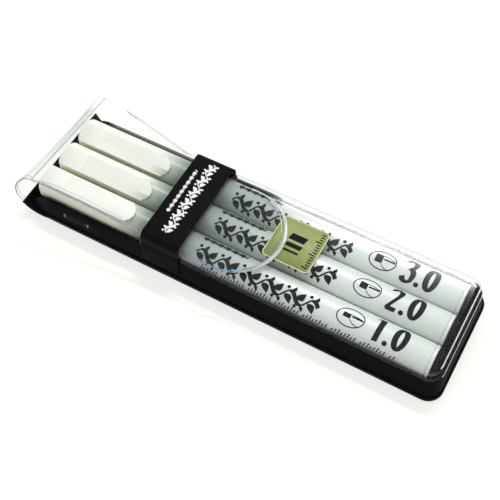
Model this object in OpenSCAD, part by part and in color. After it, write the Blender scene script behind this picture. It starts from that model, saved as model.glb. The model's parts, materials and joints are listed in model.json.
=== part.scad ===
// Calligraphy set in a soft wallet: three felt chisel pens in a black backed
// case with a clear front, a cross strap and a clear tuck-in flap.
// X runs along the pens, caps at -X. Y runs across. Z is up. Units are mm.
// The pens come first: the case takes its size from them and named clearances.

/* [Pens] */
// length of a pen with its cap on
pen_len = 141.3; // [120:0.1:160]
// radius of barrel and cap
pen_r = 5.4; // [4.5:0.05:6.5]
// wall of barrel and cap
pen_wall = 0.75; // [0.5:0.05:1.2]
// space between two neighbouring pens
pen_space = 0.6; // [0.2:0.1:2]
// left end of the pens
cap_x = -70.3; // [-80:0.1:-60]
// radius lost by the bevel at the barrel's right end
barrel_bevel = 0.35; // [0.1:0.05:0.8]

/* [Caps] */
// length of a cap
cap_len = 47.1; // [42:0.1:55]
// thickness of the cap's closed end
cap_end_t = 3.8; // [1.5:0.1:6]
// length of the taper at the closed end
cap_taper_len = 1.3; // [0.5:0.1:3]
// radius lost by that taper
cap_taper = 1.1; // [0.3:0.1:2]
// length of the pocket clip
clip_len = 34.6; // [25:0.1:38]
// width of the pocket clip
clip_w = 6.8; // [4:0.1:8]
// height of the clip's top over the cap
clip_rise = 1.5; // [1.2:0.1:2.2]
// thickness of the clip
clip_t = 1.0; // [0.6:0.05:1.4]
// distance from the closed end to the clip's root
clip_start = 2.2; // [1.5:0.1:5]
// length of the clip's root
clip_root = 9; // [5:0.1:14]
// depth of the hollow along the clip's top
clip_dish = 0.3; // [0.1:0.05:0.5]
// length of the nub under the clip's free end
clip_nub = 1.6; // [1:0.1:3]
// turn of the near cap towards the viewer, in degrees
cap_turn_near = 8; // [-40:1:40]
// turn of the middle cap
cap_turn_middle = 25; // [-30:1:35]
// turn of the far cap
cap_turn_far = 28; // [-30:1:35]

/* [Writing ends] */
// broad edge of the near pen's nib
nib_near = 1; // [0.5:0.1:3.3]
// broad edge of the middle pen's nib
nib_middle = 2; // [0.5:0.1:3.3]
// broad edge of the far pen's nib
nib_far = 3; // [0.5:0.1:3.3]
// radius of the round felt rod
nib_r = 1.7; // [1.3:0.05:2.2]
// length of the chisel
chisel_len = 6.9; // [4:0.1:9]
// thickness of the chisel
chisel_t = 1.8; // [1:0.1:2.2]
// slant of the chisel's edge, in degrees
chisel_slant = 24; // [10:1:40]
// length of the felt's taper into the chisel
chisel_taper = 1.2; // [0.5:0.1:2]
// length of round felt outside the holder's nose
nib_bare = 3; // [1:0.1:5]
// length of the holder's cone-shaped nose
nose_len = 15; // [8:0.1:18]
// radius of the nose at its tip
nose_r = 2.5; // [2.2:0.05:3]
// radius of the nose at its root
nose_root_r = 3.9; // [3.2:0.05:4]
// length of the holder's collar in the cap
collar_len = 11; // [8:0.1:14]
// length of the collar's lead-in
lead_len = 1; // [0.5:0.1:2]
// thickness of the ring between cap and barrel
ring_t = 1.0; // [0.5:0.05:2]
// depth of the holder in the barrel
holder_in = 11.8; // [8:0.1:16]
// solid part of the holder behind the cap's open end
holder_web = 3; // [2:0.1:5]
// radius of the ink reservoir
ink_r = 3.8; // [3:0.05:4.1]

/* [Tail plugs] */
// length of the plug's head
plug_len = 2.8; // [1.5:0.1:5]
// step from the barrel down to the plug's head
plug_step = 0.45; // [0.1:0.05:1]
// bevel of the plug's head
plug_bevel = 0.8; // [0.3:0.1:1.2]
// depth of the plug in the barrel
plug_in = 8; // [5:0.1:12]
// wall of the plug's hollow spigot
plug_wall = 1.0; // [0.6:0.05:1.5]
// depth of the dimple in the plug's end
plug_dimple = 0.6; // [0.2:0.1:0.9]

/* [Case] */
// thickness of the black sheet
sheet_t = 0.8; // [0.4:0.1:1.5]
// height of the pens' undersides over the black sheet
pen_lift = 1.4; // [0.6:0.1:3]
// space between the outer pens and the clear front's outside
side_room = 0.8; // [0.7:0.05:2]
// width of the shoulder between clear front and black wall
shoulder = 0.8; // [0.5:0.1:2]
// lean of the side wall from top to foot
wall_lean = 1.4; // [0:0.1:3]
// height of the black side wall's top edge
wall_top = 8.9; // [7:0.1:10]
// width of the welded edge round the foot
weld_edge = 0.6; // [0.3:0.1:2]
// space between the tail plugs and the end wall's top
end_room = 1.7; // [1.3:0.1:4]
// lean of the end wall from top to foot
end_lean = 0.9; // [0:0.1:2]
// width of the shoulder at the end wall
end_shoulder = 0.9; // [0.5:0.1:1.4]
// plan radius of the case's right corners
corner_r = 4.5; // [3:0.1:5]
// length over which the wall's top edge falls to the tab
wall_fall = 7.6; // [5:0.1:9]
// thickness of the saddle ribs under the pens
rib_t = 1.6; // [0.8:0.1:3]
// height of the saddle ribs over the black sheet
rib_h = 2.6; // [2:0.1:4]
// distance from the caps' ends to the left rib
rib_left_in = 22.3; // [12:0.1:32]
// distance from the tail plugs' ends to the right rib
rib_right_in = 19; // [12:0.1:32]

/* [End tab] */
// distance from the caps' ends to the start of the curl
curl_start = 4.8; // [4:0.1:8]
// outer radius of the curl
curl_r = 9.4; // [8:0.1:11]
// angle of the curl
curl_angle = 61; // [45:1:75]
// flare of the tab over the foot, each side
tab_flare = 0.9; // [0:0.1:2]
// radius of the round bead on the tab's free edge
bead_r = 0.6; // [0.4:0.05:1]

/* [Clear front] */
// thickness of the clear sheet
front_t = 0.5; // [0.3:0.05:1]
// radius of the clear front's long top edges
front_edge_r = 1.6; // [1:0.1:3]
// distance that the pocket's mouth stands out left of the strap
mouth_out = 1.0; // [0.3:0.1:4]

/* [Strap] */
// distance from the caps' open ends to the strap's left edge
strap_back = 4.4; // [2:0.1:9]
// width of the strap
strap_w = 13.7; // [8:0.1:20]
// thickness of the strap
strap_t = 0.6; // [0.4:0.05:1.2]
// height of the strap's ends on the side wall
strap_foot = 3; // [1:0.1:6]
// roundness of the strap's shoulders
strap_round = 0.9; // [0.4:0.05:1]

/* [Flap] */
// thickness of the clear flap
flap_t = 0.4; // [0.2:0.05:0.8]
// distance from the tab's sides to the flap's long edges
flap_side = 0.9; // [0.5:0.1:3]
// reach of the loop to the left of the hinge line
loop_reach = 4; // [2.5:0.1:7]
// height of the loop's left point over the hinge line
loop_mid = 3.6; // [2.5:0.1:6]
// distance from the hinge line to the flap's crest
crest_run = 7.8; // [5:0.1:12]
// height of the crest over the hinge line
crest_rise = 14.7; // [12:0.1:18]
// reach of the tongue past the strap
tongue_out = 27.8; // [20:0.1:34]
// distance from the clear front's sides to the tongue's
tongue_side = 2.1; // [1:0.1:6]
// sideways offset of the tongue's round end
tongue_y = -1.8; // [-2:0.1:2]
// depth of the flap's turned-down long edges
lip = 1.5; // [0.5:0.1:2]

/* [Label] */
// length of the label
label_len = 16.2; // [8:0.1:24]
// width of the label
label_wide = 16.1; // [8:0.1:22]
// thickness of the label
label_t = 0.1; // [0.05:0.01:0.15]
// corner radius of the label
label_r = 1.6; // [0.5:0.1:4]
// length of the label under the tongue's tip
label_under = 5.3; // [0:0.1:8]
// sideways offset of the label
label_y = 2.25; // [-4:0.05:4]

/* [Fits] */
// gap between pieces that are welded or glued together
weld_gap = 0.02; // [0.01:0.01:0.1]
// gap round a pen in the case
pen_gap = 0.3; // [0.1:0.05:0.6]
// radial gap between cap and collar
cap_gap = 0.12; // [0.05:0.01:0.3]
// gap between the cap's open end and the ring
cap_stop = 0.2; // [0.1:0.05:0.5]
// radial gap of pieces pressed into the barrel
press_gap = 0.04; // [0.02:0.01:0.1]
// gap round the reservoir in its seat
seat_gap = 0.1; // [0.05:0.01:0.3]
// gap above and below the tongue under the strap
tongue_gap = 0.2; // [0.16:0.01:0.5]
// gap between the strap and the clear front's sides
strap_gap = 0.15; // [0.05:0.01:0.3]
// gap between the flap and the tab's bead at the hinge line
hinge_gap = 0.25; // [0.1:0.05:0.5]

/* [Hidden] */
$fn = 48;
eps = 0.01;
black = [0.05, 0.05, 0.055];
clear = [0.85, 0.9, 0.9, 0.3];
cream = [0.86, 0.87, 0.78];
grey = [0.78, 0.81, 0.79];
olive = [0.58, 0.62, 0.36];
felt = [0.92, 0.92, 0.9];
// pens
bore_r = pen_r - pen_wall;
pitch = 2 * pen_r + pen_space;
tail_x = cap_x + pen_len;
barrel_end = tail_x - plug_len;
cap_open_x = cap_x + cap_len;
cap_wall_x = cap_x + cap_end_t;
ring_x = cap_open_x + cap_stop;
collar_x = cap_open_x - collar_len;
nose_x = collar_x - lead_len - nose_len;
nib_root = nose_x - nib_bare;
nib_tip_x = nib_root - chisel_len;
// case across and upwards, from the pens out
pen_z = sheet_t + pen_lift + pen_r;
front_half = pitch + pen_r + side_room;
front_top = pen_z + pen_r + pen_gap + front_t;
wall_half_top = front_half + shoulder;
wall_half_foot = wall_half_top + wall_lean;
foot_half = wall_half_foot + weld_edge;
tab_half = foot_half + tab_flare;
tongue_z = front_top + tongue_gap + flap_t / 2;
strap_in = front_top + 2 * tongue_gap + flap_t;
strap_top = strap_in + strap_t;
// case along X, from the pens out
right_reach = tail_x + end_room + sheet_t + end_lean + weld_edge;
wall_right = right_reach - weld_edge;
front_right = wall_right - end_lean - end_shoulder;
front_corner_r = corner_r - end_shoulder + 0.1;
strap_x = cap_open_x - strap_back;
mouth_x = strap_x - mouth_out;
rib_left = cap_x + rib_left_in;
rib_right = tail_x - rib_right_in;
rib_x = [rib_left, (rib_left + rib_right) / 2, rib_right];
curl_x = cap_x + curl_start;
curl_mid = curl_r - sheet_t / 2;
hinge_x = curl_x - curl_mid * sin(curl_angle);
hinge_z = curl_r - curl_mid * cos(curl_angle);
open_left = curl_x - 2 * curl_r - loop_reach;
// flap
flap_half = tab_half - flap_side;
tongue_r = front_half - tongue_side;
tongue_tip = strap_x + strap_w + tongue_out;
tongue_mid = tongue_tip - tongue_r;
loop_x = hinge_x - loop_reach;
crest = [hinge_x + crest_run, hinge_z + crest_rise];
entry = [strap_x + tongue_gap * 3, tongue_z];
// the model is centred between the loop and the end wall's foot
shift_x = -(right_reach + loop_x - flap_t / 2) / 2;

// point of a curve that starts at p[0], ends at p[3] and leans towards p[1] and p[2]
function bend(p, t) = pow(1 - t, 3) * p[0] + 3 * pow(1 - t, 2) * t * p[1]
    + 3 * (1 - t) * t * t * p[2] + pow(t, 3) * p[3];

// side view of the flap: foot of the loop, rise to the crest, fall to the strap
loop_foot = [[hinge_x - bead_r - hinge_gap, hinge_z + sheet_t / 8], [hinge_x - 0.7 * loop_reach, hinge_z],
    [loop_x, hinge_z + 0.45 * loop_mid], [loop_x, hinge_z + loop_mid]];
loop_rise = [loop_foot[3], [loop_x, hinge_z + 2.2 * loop_mid],
    [crest[0] - 0.7 * crest_run, crest[1]], crest];
lid_fall = [crest, [crest[0] + 2 * crest_run, crest[1] - 0.06 * crest_rise],
    [entry[0] - 7, entry[1] + 1.1], entry];
foot_n = 6;
rise_n = 10;
fall_n = 8;
flap_line = concat(
    [for (i = [0 : foot_n - 1]) bend(loop_foot, i / foot_n)],
    [for (i = [0 : rise_n - 1]) bend(loop_rise, i / rise_n)],
    [for (i = [0 : fall_n]) bend(lid_fall, i / fall_n)],
    [[tongue_tip + 2, tongue_z]]
);

// half width of the flap along X: straight over the loop, then drawn in to the tongue
edge_curve = [[crest[0], flap_half - 0.3], [crest[0] + 0.4 * (tongue_mid - crest[0]), tongue_r + 3.1],
    [crest[0] + 0.6 * (tongue_mid - crest[0]), tongue_r], [tongue_mid, tongue_r]];
// rows of place, half width and middle
flap_plan = concat(
    [[loop_x - 2, flap_half, 0]],
    [for (i = [0 : 8]) let (e = bend(edge_curve, i / 8)) [e[0], e[1], tongue_y * pow(i / 8, 2.2)]]
);

back_sheet();
end_tab();
side_wall();
clear_front();
strap();
sticker();
flap();
barrel_1();
plug_1();
holder_1();
nib_1();
reservoir_1();
cap_1();
barrel_2();
plug_2();
holder_2();
nib_2();
reservoir_2();
cap_2();
barrel_3();
plug_3();
holder_3();
nib_3();
reservoir_3();
cap_3();

// plan outline with round right corners, open and square at the left
module plan(left, right, half, r) {
    translate([left, -half]) square([right - r - left, 2 * half]);
    translate([right - 2 * r, -half + r]) square([2 * r, 2 * (half - r)]);
    for (s = [-1, 1]) translate([right - r, s * (half - r)]) circle(r = r);
}

// 2D side or end profile with round top corners
module soft_profile(a, b, top, r, round_left) {
    translate([a, 0]) square([b - a, top - r]);
    translate([a + (round_left ? r : 0), top - 2 * r])
        square([b - a - (round_left ? 2 * r : r), 2 * r]);
    translate([b - r, top - r]) circle(r = r);
    if (round_left) translate([a + r, top - r]) circle(r = r);
}

// bar along X with the given end profile drawn in Y and Z
module along_x(x0, x1) {
    translate([x0, 0, 0]) rotate([90, 0, 90]) linear_extrude(x1 - x0) children();
}

// bar along Y with the given side profile drawn in X and Z
module along_y(half) {
    translate([0, half, 0]) rotate([90, 0, 0]) linear_extrude(2 * half) children();
}

// soft box of the clear front, whole
module soft_box(inset) {
    half = front_half - inset;
    right = front_right - inset;
    top = front_top - inset;
    r = front_edge_r - inset;
    left = mouth_x - (inset > 0 ? 1 : 0);
    intersection() {
        along_x(left, right) soft_profile(-half, half, top, r, true);
        along_y(half) soft_profile(left, right, top, r, false);
        linear_extrude(top) plan(left, right, half, front_corner_r - inset);
    }
}

// leaning outline of the side wall, whole
module lean_block(inset) {
    hull() {
        translate([0, 0, sheet_t])
            linear_extrude(eps)
                plan(open_left, wall_right - inset, wall_half_foot - inset, corner_r - inset);
        translate([0, 0, wall_top - eps])
            linear_extrude(eps)
                plan(open_left, wall_right - end_lean - inset, wall_half_top - inset, corner_r - inset);
    }
}

module back_sheet() {
    color(black) translate([shift_x, 0, 0]) difference() {
        union() {
            linear_extrude(sheet_t) plan(curl_x, right_reach, foot_half, corner_r + weld_edge);
            for (x = rib_x) translate([x, pen_gap * 2 - front_half, sheet_t - eps])
                cube([rib_t, 2 * front_half - pen_gap * 4, rib_h + eps]);
        }
        for (i = [1 : 3]) translate([curl_x - 1, (i - 2) * pitch, pen_z]) rotate([0, 90, 0])
            cylinder(r = pen_r + pen_gap, h = pen_len + 2);
    }
}

module end_tab() {
    tip = hinge_x - 3 * bead_r;
    wide = 2 * tab_half + 2;
    color(black) translate([shift_x, 0, 0]) intersection() {
        union() {
            difference() {
                translate([curl_x, tab_half + 1, curl_r]) rotate([90, 0, 0])
                    cylinder(r = curl_r, h = wide, $fn = 96);
                translate([curl_x, tab_half + 2, curl_r]) rotate([90, 0, 0])
                    cylinder(r = curl_r - sheet_t, h = wide + 2, $fn = 96);
                translate([curl_x, -wide, -1]) cube([3 * curl_r, 2 * wide, 4 * curl_r]);
                translate([curl_x, -wide, curl_r]) rotate([0, curl_angle, 0])
                    translate([-4 * curl_r, 0, -4 * curl_r])
                        cube([4 * curl_r, 2 * wide, 8 * curl_r]);
            }
            translate([hinge_x, tab_half + 1, hinge_z]) rotate([90, 0, 0])
                cylinder(r = bead_r, h = wide, $fn = 32);
        }
        linear_extrude(3 * curl_r) polygon([
            [curl_x, -foot_half], [curl_x, foot_half],
            [hinge_x + 1, tab_half - 0.1], [hinge_x - 0.2, tab_half], [tip, tab_half],
            [tip, -tab_half], [hinge_x - 0.2, -tab_half], [hinge_x + 1, -tab_half + 0.1]
        ]);
    }
}

module side_wall() {
    ri = curl_r - sheet_t - weld_gap;
    fall_x = curl_x + wall_fall / 4;
    arc = [for (a = [52 : -4 : 0]) [curl_x - ri * sin(a), curl_r - ri * cos(a)]];
    color(black) translate([shift_x, 0, 0]) intersection() {
        union() {
            difference() {
                lean_block(0);
                lean_block(sheet_t);
            }
            difference() {
                translate([0, 0, sheet_t])
                    linear_extrude(0.6 * sheet_t)
                        plan(curl_x, right_reach, foot_half, corner_r + weld_edge);
                translate([0, 0, sheet_t - 1])
                    linear_extrude(sheet_t + 2)
                        plan(open_left, wall_right - sheet_t, wall_half_foot - sheet_t,
                            corner_r - sheet_t);
            }
        }
        along_y(2 * wall_half_foot) polygon(concat(
            arc,
            [[curl_x, sheet_t], [right_reach + 1, sheet_t], [right_reach + 1, wall_top]],
            [for (i = [0 : 4]) [fall_x - i * wall_fall / 4, wall_top - i * i * wall_fall / 32]]
        ));
    }
}

module clear_front() {
    color(clear) translate([shift_x, 0, 0]) {
        difference() {
            soft_box(0);
            soft_box(front_t);
            translate([mouth_x - 5, -2 * front_half, -1])
                cube([2 * pen_len, 4 * front_half, wall_top + weld_gap + 1]);
        }
        difference() {
            translate([0, 0, wall_top + weld_gap]) linear_extrude(front_t)
                plan(mouth_x, wall_right - end_lean, wall_half_top, corner_r);
            translate([0, 0, wall_top - 1]) linear_extrude(front_t + 2)
                plan(mouth_x - 1, front_right - front_t, front_half - front_t,
                    front_corner_r - front_t);
        }
    }
}

// outer side of the strap's leg at the given height
function leg_y(z) = wall_half_top + weld_gap
    + (z >= wall_top ? 0 : wall_lean * (wall_top - z) / (wall_top - sheet_t));

module strap() {
    ledge = wall_top + front_t + 3 * weld_gap;
    side = front_half + strap_gap;
    r = strap_round;
    inner = [
        [leg_y(strap_foot), strap_foot],
        [leg_y(wall_top), wall_top],
        [leg_y(wall_top), ledge],
        [side, ledge + 2 * strap_t],
        [side - 0.05, strap_in - r - 0.1],
        [side - 0.35 * r, strap_in - 0.3 * r],
        [side - 1.2 * r, strap_in]
    ];
    outer = [
        [side - 1.1 * r, strap_top],
        [side + 0.1 * r, strap_top - 0.17 * r],
        [side + 0.65 * r, strap_top - 0.65 * r],
        [side + strap_t - 0.03, strap_top - 1.43 * r],
        [side + strap_t, ledge + 2.5 * strap_t],
        [leg_y(wall_top) + strap_t, ledge + strap_t / 3],
        [leg_y(wall_top) + strap_t, wall_top],
        [leg_y(strap_foot) + strap_t, strap_foot]
    ];
    color(black) translate([shift_x, 0, 0]) along_x(strap_x, strap_x + strap_w) polygon(concat(
        inner,
        [for (i = [len(inner) - 1 : -1 : 0]) [-inner[i][0], inner[i][1]]],
        [for (i = [len(outer) - 1 : -1 : 0]) [-outer[i][0], outer[i][1]]],
        outer
    ));
}

module sticker() {
    size = [label_len, label_wide];
    r = label_r;
    color(olive)
        translate([shift_x + tongue_tip - label_under + label_len / 2, label_y, front_top])
            linear_extrude(label_t) {
                square(size - [2 * r, 0], center = true);
                square(size - [0, 2 * r], center = true);
                for (sx = [-1, 1]) for (sy = [-1, 1])
                    translate([sx * (size[0] / 2 - r), sy * (size[1] / 2 - r)]) circle(r = r);
            }
}

function unit(a, b) = (b - a) / norm(b - a);
function side_dir(l, i) = let (
    a = l[max(0, i - 1)],
    b = l[min(len(l) - 1, i + 1)],
    d = unit(a, b)
) [-d[1], d[0]];
function band(l, up, down) = concat(
    [for (i = [0 : len(l) - 1]) l[i] + up * side_dir(l, i)],
    [for (i = [len(l) - 1 : -1 : 0]) l[i] + down * side_dir(l, i)]
);

// flap outline in plan, smaller by the given amount
module flap_outline(inset) {
    polygon(concat(
        [for (p = flap_plan) [p[0], p[2] + p[1] - inset]],
        [for (i = [len(flap_plan) - 1 : -1 : 0])
            [flap_plan[i][0], flap_plan[i][2] - flap_plan[i][1] + inset]]
    ));
    translate([tongue_mid, tongue_y]) circle(r = tongue_r - inset, $fn = 96);
}

module flap() {
    // the long edges turn down from the crest to just before the strap
    lip_line = [for (i = [foot_n + rise_n : foot_n + rise_n + fall_n - 1]) flap_line[i]];
    color(clear) translate([shift_x, 0, 0]) {
        intersection() {
            along_y(2 * tab_half) polygon(band(flap_line, -flap_t / 2, flap_t / 2));
            linear_extrude(4 * crest[1]) flap_outline(0);
        }
        intersection() {
            along_y(2 * tab_half) polygon(band(lip_line, -lip, 0));
            difference() {
                linear_extrude(4 * crest[1]) flap_outline(0);
                translate([0, 0, -1]) linear_extrude(4 * crest[1] + 2) flap_outline(flap_t);
            }
        }
    }
}

// cylinder or cone along X
module rod(x0, x1, r0, r1) {
    translate([x0, 0, 0]) rotate([0, 90, 0]) cylinder(r1 = r0, r2 = r1, h = x1 - x0);
}

// place a pen by its number, near pen first
module at_pen(i) {
    translate([shift_x, (i - 2) * pitch, pen_z]) children();
}

module barrel(i) {
    bevel_x = barrel_end - 1.7 * barrel_bevel;
    color(grey) at_pen(i) difference() {
        union() {
            rod(ring_x + ring_t, bevel_x, pen_r, pen_r);
            rod(bevel_x, barrel_end, pen_r, pen_r - barrel_bevel);
        }
        rod(ring_x, barrel_end + 1, bore_r, bore_r);
    }
}

module plug(i) {
    head_r = pen_r - plug_step;
    spigot_r = bore_r - press_gap;
    color(black) at_pen(i) difference() {
        union() {
            rod(barrel_end, tail_x - plug_bevel, head_r, head_r);
            rod(tail_x - plug_bevel, tail_x, head_r, head_r - plug_bevel);
            rod(barrel_end - plug_in, barrel_end + 0.1, spigot_r, spigot_r);
        }
        rod(barrel_end - plug_in - 1, barrel_end - 1.2, spigot_r - plug_wall, spigot_r - plug_wall);
        rod(tail_x - plug_dimple, tail_x + 1, pen_r / 2 - 0.3, pen_r / 2 + 0.2);
    }
}

module holder(i) {
    in_r = bore_r - press_gap;
    collar_r = bore_r - cap_gap;
    back_x = ring_x + ring_t + holder_in;
    color(cream) at_pen(i) difference() {
        union() {
            rod(ring_x, ring_x + ring_t - weld_gap, pen_r, pen_r);
            rod(ring_x + ring_t / 2, back_x, in_r, in_r);
            rod(collar_x, ring_x + ring_t / 2, collar_r, collar_r);
            rod(collar_x - lead_len, collar_x, collar_r - 0.6, collar_r);
            rod(nose_x, collar_x - lead_len / 2, nose_r, nose_root_r);
        }
        rod(nib_root, back_x + 1, nib_r + press_gap, nib_r + press_gap);
        rod(cap_open_x + holder_web, back_x + 1, ink_r + seat_gap, ink_r + seat_gap);
    }
}

module nib(i) {
    w = [nib_near, nib_middle, nib_far][i - 1];
    color(felt) at_pen(i) {
        rod(nib_root, cap_open_x + holder_web - 5 * seat_gap, nib_r, nib_r);
        difference() {
            union() {
                rod(nib_root - chisel_taper, nib_root + 0.05, 0.8 * nib_r, nib_r);
                translate([nib_tip_x, -w / 2, -chisel_t / 2])
                    cube([chisel_len + 1, w, chisel_t]);
            }
            translate([nib_tip_x - eps, -2 * nib_r, -chisel_t / 2]) rotate([0, chisel_slant, 0])
                translate([-4, 0, -2]) cube([4, 4 * nib_r, 8]);
        }
    }
}

module reservoir(i) {
    color(felt) at_pen(i)
        rod(cap_open_x + holder_web + 2 * seat_gap, barrel_end - plug_in - 6 * seat_gap, ink_r, ink_r);
}

module cap(i) {
    top = pen_r + clip_rise;
    turn = [cap_turn_near, cap_turn_middle, cap_turn_far][i - 1];
    clip_x = cap_x + clip_start;
    clip_mid = clip_x + clip_len - clip_w / 2;
    dish_w = clip_w + 1;
    dish_r = (dish_w * dish_w / 4 + clip_dish * clip_dish) / (2 * clip_dish);
    color(cream) at_pen(i) rotate([turn, 0, 0]) {
        difference() {
            union() {
                rod(cap_x, cap_x + cap_taper_len, pen_r - cap_taper, pen_r);
                rod(cap_x + cap_taper_len, cap_open_x, pen_r, pen_r);
                translate([clip_x, -clip_w / 2, 0]) cube([clip_root, clip_w, top]);
            }
            rod(cap_wall_x, cap_open_x + 1, bore_r, bore_r);
        }
        difference() {
            union() {
                translate([clip_x, -clip_w / 2, top - clip_t])
                    cube([clip_mid + 0.25 * clip_w - clip_x, clip_w, clip_t]);
                translate([clip_mid, 0, top - clip_t]) cylinder(r = clip_w / 2, h = clip_t);
                translate([clip_x + clip_len - 3 * clip_nub, -clip_nub, pen_r + cap_gap])
                    cube([clip_nub, 2 * clip_nub, clip_rise - clip_t / 2]);
            }
            translate([clip_x + clip_root, 0, top + dish_r - clip_dish]) rotate([0, 90, 0])
                cylinder(r = dish_r, h = clip_len + clip_w, $fn = 160);
        }
    }
}

module barrel_1() barrel(1);
module plug_1() plug(1);
module holder_1() holder(1);
module nib_1() nib(1);
module reservoir_1() reservoir(1);
module cap_1() cap(1);
module barrel_2() barrel(2);
module plug_2() plug(2);
module holder_2() holder(2);
module nib_2() nib(2);
module reservoir_2() reservoir(2);
module cap_2() cap(2);
module barrel_3() barrel(3);
module plug_3() plug(3);
module holder_3() holder(3);
module nib_3() nib(3);
module reservoir_3() reservoir(3);
module cap_3() cap(3);
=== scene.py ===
"""Looks of a flat calligraphy pen wallet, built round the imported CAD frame.

Lengths are in millimetres until a mesh is made. X runs from the caps to the tail plugs,
Y from the near pen to the far pen, and Z up out of the clear front.
"""
import json
import math

import bmesh
import bpy
from mathutils import Matrix, Vector


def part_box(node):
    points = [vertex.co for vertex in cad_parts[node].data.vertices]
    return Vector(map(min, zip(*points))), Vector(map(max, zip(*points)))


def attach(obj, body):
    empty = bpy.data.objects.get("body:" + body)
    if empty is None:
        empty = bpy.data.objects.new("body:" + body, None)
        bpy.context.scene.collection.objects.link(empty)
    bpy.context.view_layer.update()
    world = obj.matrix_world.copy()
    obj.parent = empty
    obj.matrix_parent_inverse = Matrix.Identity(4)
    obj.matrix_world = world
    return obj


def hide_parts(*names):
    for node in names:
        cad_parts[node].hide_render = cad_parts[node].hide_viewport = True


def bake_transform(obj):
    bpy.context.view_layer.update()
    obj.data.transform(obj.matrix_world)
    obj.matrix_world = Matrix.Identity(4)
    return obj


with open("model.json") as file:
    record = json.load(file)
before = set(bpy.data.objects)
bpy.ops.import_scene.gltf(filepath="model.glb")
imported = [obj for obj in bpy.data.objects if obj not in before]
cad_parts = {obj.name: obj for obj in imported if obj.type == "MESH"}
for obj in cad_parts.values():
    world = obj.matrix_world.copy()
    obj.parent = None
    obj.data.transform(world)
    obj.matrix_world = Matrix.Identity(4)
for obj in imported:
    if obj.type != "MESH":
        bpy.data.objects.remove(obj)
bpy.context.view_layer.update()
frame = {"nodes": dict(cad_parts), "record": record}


# Sizes taken from the frame

MM = 0.001


def box(node):
    """Lowest and highest corner of a CAD node."""
    return [[v / MM for v in corner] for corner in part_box(node)]


PENS = (1, 2, 3)
BARREL_LOW, BARREL_HIGH = box("barrel_2")
PEN_R = (BARREL_HIGH[2] - BARREL_LOW[2]) / 2
PEN_Z = (BARREL_HIGH[2] + BARREL_LOW[2]) / 2
PEN_Y = {pen: sum(corner[1] for corner in box(f"barrel_{pen}")) / 2 for pen in PENS}
STRAP_LOW, STRAP_HIGH = box("strap")
FRONT_LOW, FRONT_HIGH = box("clear_front")
LABEL_LOW, LABEL_HIGH = box("sticker")
FLAP_LOW, FLAP_HIGH = box("flap")
CAP_BODY_TOP = PEN_Z + PEN_R + 0.05     # top of a cap's round body, under its clip
CAP_CLIP_END = -32.7                    # where the caps' clips end along X
SWING = next(j for j in frame["record"]["behaviour"]["joints"] if j["name"] == "flap_swing")
HINGE_X, _, HINGE_Z = (v / MM for v in SWING["pos_m"])


# Camera, in metres, as fitted to the photo's straight edges

CAMERA_AT = (0.08445, -0.12546, 0.24796)
CAMERA_RIGHT = Vector((0.86996, 0.49156, -0.03931))
CAMERA_DOWN = Vector((0.40294, -0.75454, -0.51798))
CAMERA_AHEAD = Vector((-0.28428, 0.43478, -0.85449))
LENS_MM = 64.158


def make_camera():
    cam = bpy.data.objects.new("camera", bpy.data.cameras.new("camera"))
    bpy.context.scene.collection.objects.link(cam)
    turn = Matrix((CAMERA_RIGHT, -CAMERA_DOWN, -CAMERA_AHEAD)).transposed()
    cam.matrix_world = Matrix.Translation(CAMERA_AT) @ turn.to_4x4()
    cam.data.sensor_width = 36
    cam.data.lens = LENS_MM
    cam.data.clip_start = 0.01
    cam.data.clip_end = 20
    bpy.context.scene.camera = cam


# Materials

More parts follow.
